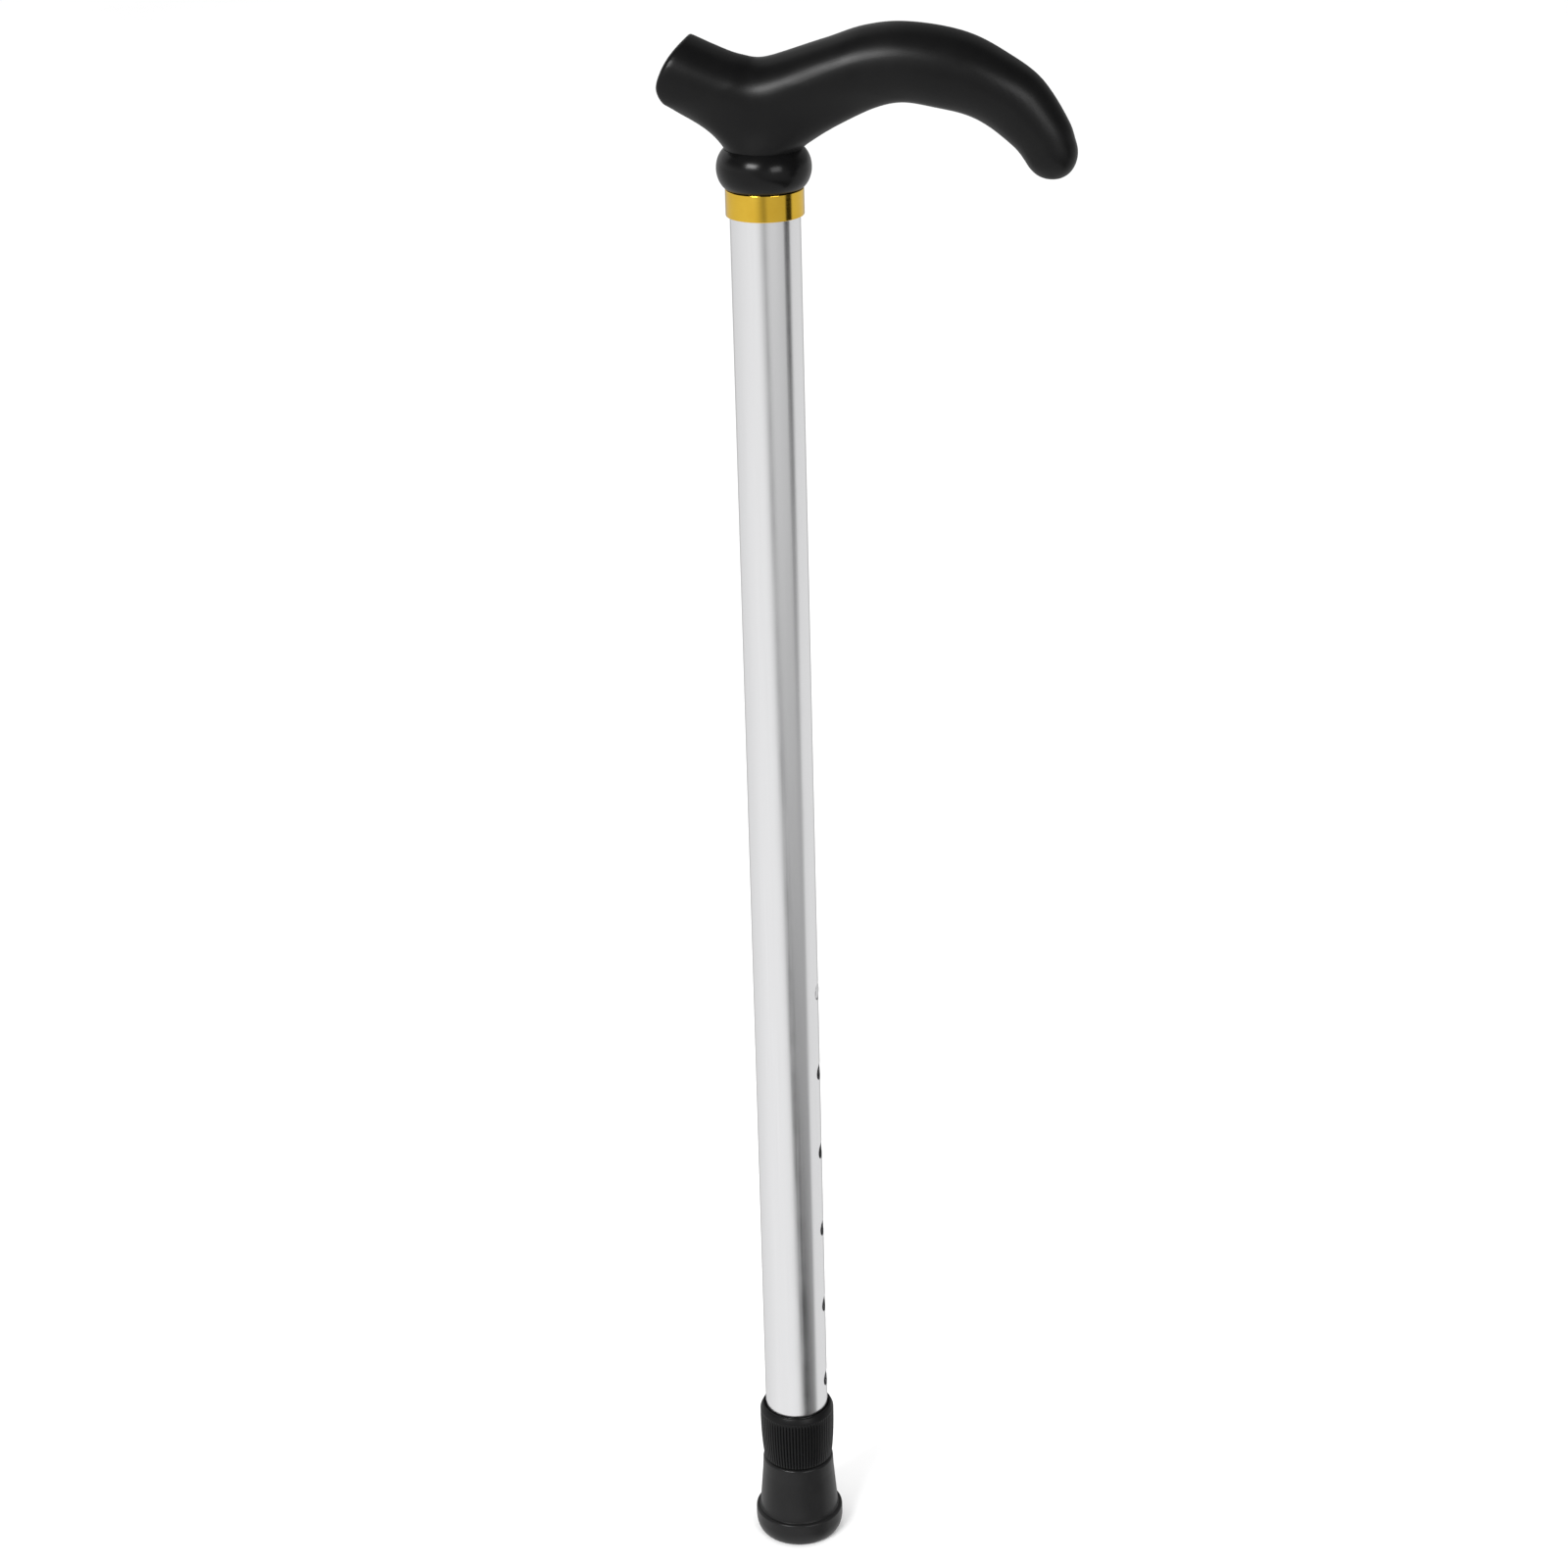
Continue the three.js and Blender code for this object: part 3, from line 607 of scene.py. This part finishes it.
class Shader:
    """A Principled material whose nodes are added one call at a time."""

    def __init__(self, name, **sockets):
        self.material = bpy.data.materials.new(name)
        self.material.use_nodes = True
        self.tree = self.material.node_tree
        self.main = self.tree.nodes["Principled BSDF"]
        for key, value in sockets.items():
            self.main.inputs[key.replace("_", " ")].default_value = value
        self.place = self.add("ShaderNodeTexCoord").outputs["Object"]

    def add(self, kind, **settings):
        node = self.tree.nodes.new(kind)
        for key, value in settings.items():
            setattr(node, key, value)
        return node

    def link(self, output, target):
        self.tree.links.new(output, target)

    def scaled(self, x, y, z):
        node = self.add("ShaderNodeMapping")
        node.inputs["Scale"].default_value = (x, y, z)
        self.link(self.place, node.inputs["Vector"])
        return node.outputs["Vector"]

    def noise(self, scale, detail=3.0, vector=None, roughness=0.55):
        node = self.add("ShaderNodeTexNoise")
        node.inputs["Scale"].default_value = scale
        node.inputs["Detail"].default_value = detail
        node.inputs["Roughness"].default_value = roughness
        self.link(vector or self.place, node.inputs["Vector"])
        return node.outputs["Fac"]

    def ranged(self, value, low, high, start=0.3, end=0.7):
        node = self.add("ShaderNodeMapRange")
        ends = (("From Min", start), ("From Max", end), ("To Min", low), ("To Max", high))
        for key, number in ends:
            node.inputs[key].default_value = number
        self.link(value, node.inputs["Value"])
        return node.outputs["Result"]

    def mixed(self, share, first, second):
        node = self.add("ShaderNodeMix", data_type="RGBA")
        self.link(share, node.inputs["Factor"])
        for key, colour in (("A", first), ("B", second)):
            socket = [s for s in node.inputs if s.name == key and s.type == "RGBA"][0]
            if isinstance(colour, tuple):
                socket.default_value = (*colour, 1)
            else:
                self.link(colour, socket)
        return [s for s in node.outputs if s.type == "RGBA"][0]

    def math(self, operation, a, b=None):
        node = self.add("ShaderNodeMath", operation=operation)
        for socket, value in zip(node.inputs, (a, b)):
            if isinstance(value, (int, float)):
                socket.default_value = value
            elif value is not None:
                self.link(value, socket)
        return node.outputs[0]

    def bump(self, height, strength, distance):
        node = self.add("ShaderNodeBump")
        node.inputs["Strength"].default_value = strength
        node.inputs["Distance"].default_value = distance
        self.link(height, node.inputs["Height"])
        return node.outputs["Normal"]

    def finish(self, colour=None, roughness=None, normal=None):
        for key, value in (("Base Color", colour), ("Roughness", roughness), ("Normal", normal)):
            if value is not None:
                self.link(value, self.main.inputs[key])
        return self.material


def grey(level, blue=None):
    """A grey, with its blue a little off it where that is given."""
    return (level, level, level if blue is None else blue)


def moulded(name, colour, lighter, rough, grain, specular):
    """Black moulded plastic or rubber, with a fine grain and a cloudy gloss."""
    s = Shader(name, Specular_IOR_Level=specular)
    cloud = s.noise(55, 4)
    fine = s.noise(1900, 2)
    shade = s.mixed(s.ranged(cloud, 0, 1), colour, lighter)
    roughness = s.ranged(cloud, rough - 0.04, rough + 0.05)
    return s.finish(shade, roughness, s.bump(fine, grain, 0.00012))


def drawn_metal(name, colour, darker, rough, streak):
    """Drawn, satin anodised metal, with fine streaks along +Z."""
    s = Shader(name, Metallic=1.0)
    streaks = s.noise(1.0, 5, s.scaled(1500, 1500, 12), 0.6)
    cloud = s.noise(38, 3)
    shade = s.mixed(s.ranged(streaks, 0, 1), darker, colour)
    spread = s.math("ADD", s.ranged(streaks, -0.03, 0.04),
                    s.ranged(cloud, rough - 0.02, rough + 0.03))
    return s.finish(shade, spread, s.bump(streaks, streak, 0.00006))


def turned_metal(name, colour, darker, rough, strength):
    """Metal with fine rings about +Z, as left by a lathe."""
    s = Shader(name, Metallic=1.0)
    rings = s.noise(1.0, 4, s.scaled(20, 20, 3500), 0.6)
    cloud = s.noise(90, 3)
    shade = s.mixed(s.ranged(cloud, 0, 1), darker, colour)
    spread = s.math("ADD", s.ranged(rings, -0.02, 0.03),
                    s.ranged(cloud, rough - 0.02, rough + 0.03))
    return s.finish(shade, spread, s.bump(rings, strength, 0.00005))


def plain_nylon(name):
    s = Shader(name, Subsurface_Weight=0.08, Subsurface_Radius=(0.002, 0.0015, 0.001))
    cloud = s.noise(120, 4)
    shade = s.mixed(s.ranged(cloud, 0, 1), (0.50, 0.49, 0.44), (0.60, 0.59, 0.55))
    return s.finish(shade, s.ranged(cloud, 0.38, 0.5), s.bump(s.noise(900, 2), 0.15, 0.0001))


# Looks by the record's slots, and one more for the walls of the drilled holes, painted near-black
# as the shade inside the holes
MATERIALS = {
    "handle_plastic": moulded(
        "satin_black", grey(0.0029, 0.003), grey(0.0038, 0.0039),
        rough=0.33, grain=0.08, specular=0.165),
    "collar_gloss": moulded(
        "gloss_black", grey(0.0026, 0.0027), grey(0.0034, 0.0035),
        rough=0.21, grain=0.02, specular=0.18),
    "ring_plastic": moulded(
        "matt_black", grey(0.0042, 0.0044), grey(0.0058, 0.006),
        rough=0.34, grain=0.14, specular=0.14),
    "ferrule_rubber": moulded(
        "black_rubber", grey(0.0062, 0.0064), grey(0.01, 0.0102),
        rough=0.31, grain=0.2, specular=0.23),
    "gold_band": turned_metal(
        "gold", (0.86, 0.56, 0.066), (0.80, 0.50, 0.05), rough=0.13, strength=0.2),
    "brass_insert": turned_metal(
        "brass", (0.74, 0.56, 0.26), (0.66, 0.48, 0.2), rough=0.3, strength=0.3),
    "anodised_tube": drawn_metal(
        "satin_aluminium", grey(0.89, 0.90), grey(0.86, 0.87), rough=0.2, streak=0.14),
    # painted shade: near-black metal on the holes' walls stands in for the shadow inside the holes
    "painted_hole_shade": turned_metal(
        "hole_wall_painted_shade", grey(0.03, 0.031), grey(0.02, 0.021), rough=0.45, strength=0.3),
    "nylon": plain_nylon("natural_nylon"),
    "steel": turned_metal(
        "zinc_steel", (0.62, 0.63, 0.65), (0.52, 0.53, 0.55), rough=0.35, strength=0.3),
    "spring_steel": drawn_metal(
        "spring_steel", (0.50, 0.51, 0.53), (0.42, 0.43, 0.45), rough=0.3, streak=0.3),
    "button_steel": turned_metal(
        "nickel", grey(0.74, 0.75), grey(0.68, 0.69), rough=0.2, strength=0.1),
}


# ---------------------------------------------------------------- assembly

def dress(piece, body, node, ride=True):
    """Gives a piece its node's material and, if it rides, its body, and hides the CAD node."""
    slot = next(p["material_slot"] for p in frame["record"]["subparts"] if p["node"] == node)
    piece.data.materials.clear()
    piece.data.materials.append(MATERIALS[slot])
    if slot == "anodised_tube":
        # the holes' walls get the painted shade
        piece.data.materials.append(MATERIALS["painted_hole_shade"])
    if ride:
        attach(piece, body)
    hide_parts(node)
    return piece


height_holes = [(0, BUTTON_Z - HOLE_PITCH * k, HOLE_RADIUS) for k in range(HOLE_COUNT)]
pin_holes = [(side, PIN_Z, PIN_RADIUS) for side in (90, -90)]

dress(handle(), "upper", "handle_grip")
dress(neck_bulb(), "upper", "neck_collar")
dress(band(), "upper", "gold_band")
upper_tube = pierced_tube("shaft_upper", "upper_shaft", UPPER_OUTER, UPPER_INNER,
                          height_holes + pin_holes)
dress(upper_tube, "upper", "upper_shaft")
lower_tube = pierced_tube("shaft_lower", "lower_shaft", LOWER_OUTER, LOWER_INNER, height_holes[:1])
dress(lower_tube, "lower", "lower_shaft")
dress(lock_ring(), "lock_ring", "lock_ring")
dress(ferrule(), "lower", "ferrule")
dress(button(), "snap_button", "snap_button")
spring = dress(leaf_spring(), "lower", "button_spring", ride=False)
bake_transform(spring)

# every CAD mesh, for the nodes that no piece replaces
for subpart in frame["record"]["subparts"]:
    node = frame["nodes"][subpart["node"]]
    node.data.materials.clear()
    node.data.materials.append(MATERIALS[subpart["material_slot"]])


# ---------------------------------------------------------------- floor, lights and camera

FLOOR_SIZE = 60.0


def floor():
    """A pale floor that stays under the ferrule when the cane is drawn out."""
    mesh = bpy.data.meshes.new("floor")
    half = FLOOR_SIZE / 2
    corners = [(-half, -half, 0), (half, -half, 0), (half, half, 0), (-half, half, 0)]
    mesh.from_pydata(corners, [], [(0, 1, 2, 3)])
    piece = bpy.data.objects.new("floor", mesh)
    bpy.context.scene.collection.objects.link(piece)
    s = Shader("pale_floor", Roughness=0.9, Specular_IOR_Level=0.0)
    s.finish(s.mixed(s.ranged(s.noise(3, 3), 0, 1), grey(0.86), grey(0.88)))
    mesh.materials.append(s.material)
    piece.visible_glossy = False
    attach(piece, "lower")


CAMERA_TURN = math.radians(10.0)
CAMERA_DROP = math.radians(22.75)
CAMERA_ROLL = math.radians(1.5)
CAMERA_PLACE = (0.2078, -1.1705, 0.8348)
CAMERA_SENSOR, CAMERA_LENS, CAMERA_REACH = 36, 77.625, 200
TO_CAMERA = Vector((math.sin(CAMERA_TURN), -math.cos(CAMERA_TURN), 0))
TO_RIGHT = Vector((math.cos(CAMERA_TURN), math.sin(CAMERA_TURN), 0))


LAMP_TARGET = (0.02, 0, 0.59)
LAMP_DISTANCE = 2.3


def area_light(name, azimuth, elevation, width, height, energy):
    """A soft box that points at the handle, its azimuth in degrees to the right of the camera's."""
    turn, rise = math.radians(azimuth), math.radians(elevation)
    away = (TO_CAMERA * math.cos(turn) + TO_RIGHT * math.sin(turn)) * math.cos(rise)
    away = away + Vector((0, 0, math.sin(rise)))
    data = bpy.data.lights.new(name, "AREA")
    data.shape = "RECTANGLE"
    data.size, data.size_y = width, height
    data.energy = energy
    lamp = bpy.data.objects.new(name, data)
    lamp.location = Vector(LAMP_TARGET) + away * LAMP_DISTANCE
    lamp.rotation_euler = (-away).to_track_quat("-Z", "Y").to_euler()
    bpy.context.scene.collection.objects.link(lamp)


def camera():
    data = bpy.data.cameras.new("camera")
    data.sensor_width = CAMERA_SENSOR
    data.lens = CAMERA_LENS
    data.clip_end = CAMERA_REACH
    piece = bpy.data.objects.new("camera", data)
    ahead = -TO_CAMERA * math.cos(CAMERA_DROP) - Vector((0, 0, math.sin(CAMERA_DROP)))
    down = TO_CAMERA * math.sin(CAMERA_DROP) - Vector((0, 0, math.cos(CAMERA_DROP)))
    right = TO_RIGHT * math.cos(CAMERA_ROLL) + down * math.sin(CAMERA_ROLL)
    up = TO_RIGHT * math.sin(CAMERA_ROLL) - down * math.cos(CAMERA_ROLL)
    turn = Matrix((right, up, -ahead)).transposed()
    piece.matrix_world = Matrix.Translation(CAMERA_PLACE) @ turn.to_4x4()
    bpy.context.scene.collection.objects.link(piece)
    bpy.context.scene.camera = piece


def studio():
    """A pale studio, whose dark flag low on the right is reflected as the tube's dark stripe."""
    world = bpy.data.worlds.new("studio")
    bpy.context.scene.world = world
    world.use_nodes = True
    tree = world.node_tree
    background = tree.nodes["Background"]

    def node(kind, **settings):
        made = tree.nodes.new(kind)
        for key, value in settings.items():
            setattr(made, key, value)
        return made

    def calc(operation, *values):
        made = node("ShaderNodeMath", operation=operation)
        for socket, value in zip(made.inputs, values):
            if isinstance(value, (int, float)):
                socket.default_value = value
            else:
                tree.links.new(value, socket)
        return made.outputs[0]

    def ranged(value, start, end, low, high, kind="SMOOTHSTEP"):
        """Goes from low to high while the value goes from start to end."""
        made = node("ShaderNodeMapRange", interpolation_type=kind)
        ends = (("From Min", start), ("From Max", end), ("To Min", low), ("To Max", high))
        for key, number in ends:
            made.inputs[key].default_value = number
        tree.links.new(value, made.inputs["Value"])
        return made.outputs["Result"]

    direction = node("ShaderNodeTexCoord").outputs["Generated"]

    def along(vector):
        made = node("ShaderNodeVectorMath", operation="DOT_PRODUCT")
        tree.links.new(direction, made.inputs[0])
        made.inputs[1].default_value = vector
        return made.outputs["Value"]

    # all in degrees: azimuth to the right of the camera's, and the drop below the horizon
    degree = math.pi / 180
    azimuth = calc("DIVIDE", calc("ARCTAN2", along(TO_RIGHT), along(TO_CAMERA)), degree)
    rise = calc("DIVIDE", calc("ARCSINE", along((0, 0, 1))), degree)
    drop = calc("MULTIPLY", rise, -1.0)

    # the flag's left edge moves to the right and gets sharper the lower it is
    upper_edge = calc("MULTIPLY_ADD", drop, 0.9, -27.0)
    lower_edge = calc("MULTIPLY_ADD", drop, 2.4, -58.0)
    past = calc("SUBTRACT", azimuth, calc("MAXIMUM", upper_edge, lower_edge))
    softness = ranged(drop, 13.5, 26.0, 18.0, 5.0, "LINEAR")
    left = ranged(calc("DIVIDE", past, softness), -1.0, 1.0, 0.0, 1.0)
    right = ranged(azimuth, 74.5, 84.5, 1.0, 0.0)

    # it is deepest at the left edge, and shallower further right
    deep = ranged(drop, 14.0, 23.0, 0.34, 0.62, "LINEAR")
    deep = calc("MAXIMUM", deep, ranged(drop, 22.5, 26.5, 0.6, 1.0, "LINEAR"))
    shallow = ranged(drop, 14.0, 32.5, 0.2, 0.64, "LINEAR")
    spread = ranged(drop, 26.0, 32.0, 1.0, 2.2)
    across = ranged(calc("DIVIDE", past, spread), 9.0, 26.0, 0.0, 1.0)
    depth = calc("ADD", deep, calc("MULTIPLY", across, calc("SUBTRACT", shallow, deep)))
    flag = calc("SUBTRACT", 1.0, calc("MULTIPLY", calc("MULTIPLY", left, right), depth))

    # a thin dark line at its right edge, higher up
    beside = calc("ABSOLUTE", calc("SUBTRACT", azimuth, 73.0))
    line = ranged(beside, 7.0, 14.0, 1.0, 0.0)
    line_depth = ranged(drop, 15.0, 21.0, 0.98, 0.0, "LINEAR")
    thin = calc("SUBTRACT", 1.0, calc("MULTIPLY", line, line_depth))

    # the walls are a little darker to the sides and behind, and the ceiling is dark
    sides = ranged(calc("ABSOLUTE", calc("ADD", azimuth, 30.0)), 30.0, 110.0, 0.9, 0.78)
    behind = ranged(calc("ABSOLUTE", azimuth), 140.0, 165.0, 1.0, 0.6)
    ceiling = ranged(rise, 0.0, 25.0, 1.0, 0.15)
    backdrop = ranged(along(tuple(-v for v in TO_CAMERA)), 0.1, 0.5, 0.0, 0.85)
    ceiling = calc("MAXIMUM", ceiling, backdrop)

    # above the horizon the left is lighter than the right
    tilt = calc("SUBTRACT", ranged(azimuth, -60.0, 60.0, 1.4, 0.6), 1.0)
    tilt = calc("MULTIPLY_ADD", tilt, ranged(rise, -3.0, 6.0, 0.0, 1.0), 1.0)
    sides = calc("MULTIPLY", sides, tilt)

    # the walls brighten a little towards the floor, and the floor again near the foot
    low_wall = ranged(drop, 12.0, 20.0, 0.93, 1.0)
    near_foot = ranged(drop, 36.0, 60.0, 1.0, 1.15)
    walls = calc("MULTIPLY", sides, calc("MULTIPLY", behind, ceiling))
    glossy = calc("MULTIPLY", calc("MULTIPLY", flag, thin), walls)
    glossy = calc("MULTIPLY", glossy, calc("MULTIPLY", low_wall, near_foot))

    # reflections see all this, and everything else sees one even light
    even_light = 1.12
    shine = node("ShaderNodeLightPath").outputs["Is Glossy Ray"]
    plain = calc("MULTIPLY", calc("SUBTRACT", 1.0, shine), even_light)
    level = calc("ADD", calc("MULTIPLY", glossy, shine), plain)
    tree.links.new(level, background.inputs["Strength"])
    background.inputs["Color"].default_value = (1, 1, 1, 1)


floor()
area_light("key", azimuth=-33, elevation=28, width=0.92, height=0.56, energy=42)
area_light("fill", azimuth=29, elevation=14.5, width=0.95, height=0.7, energy=15)
camera()
studio()
scene = bpy.context.scene
scene.view_settings.view_transform = "Standard"
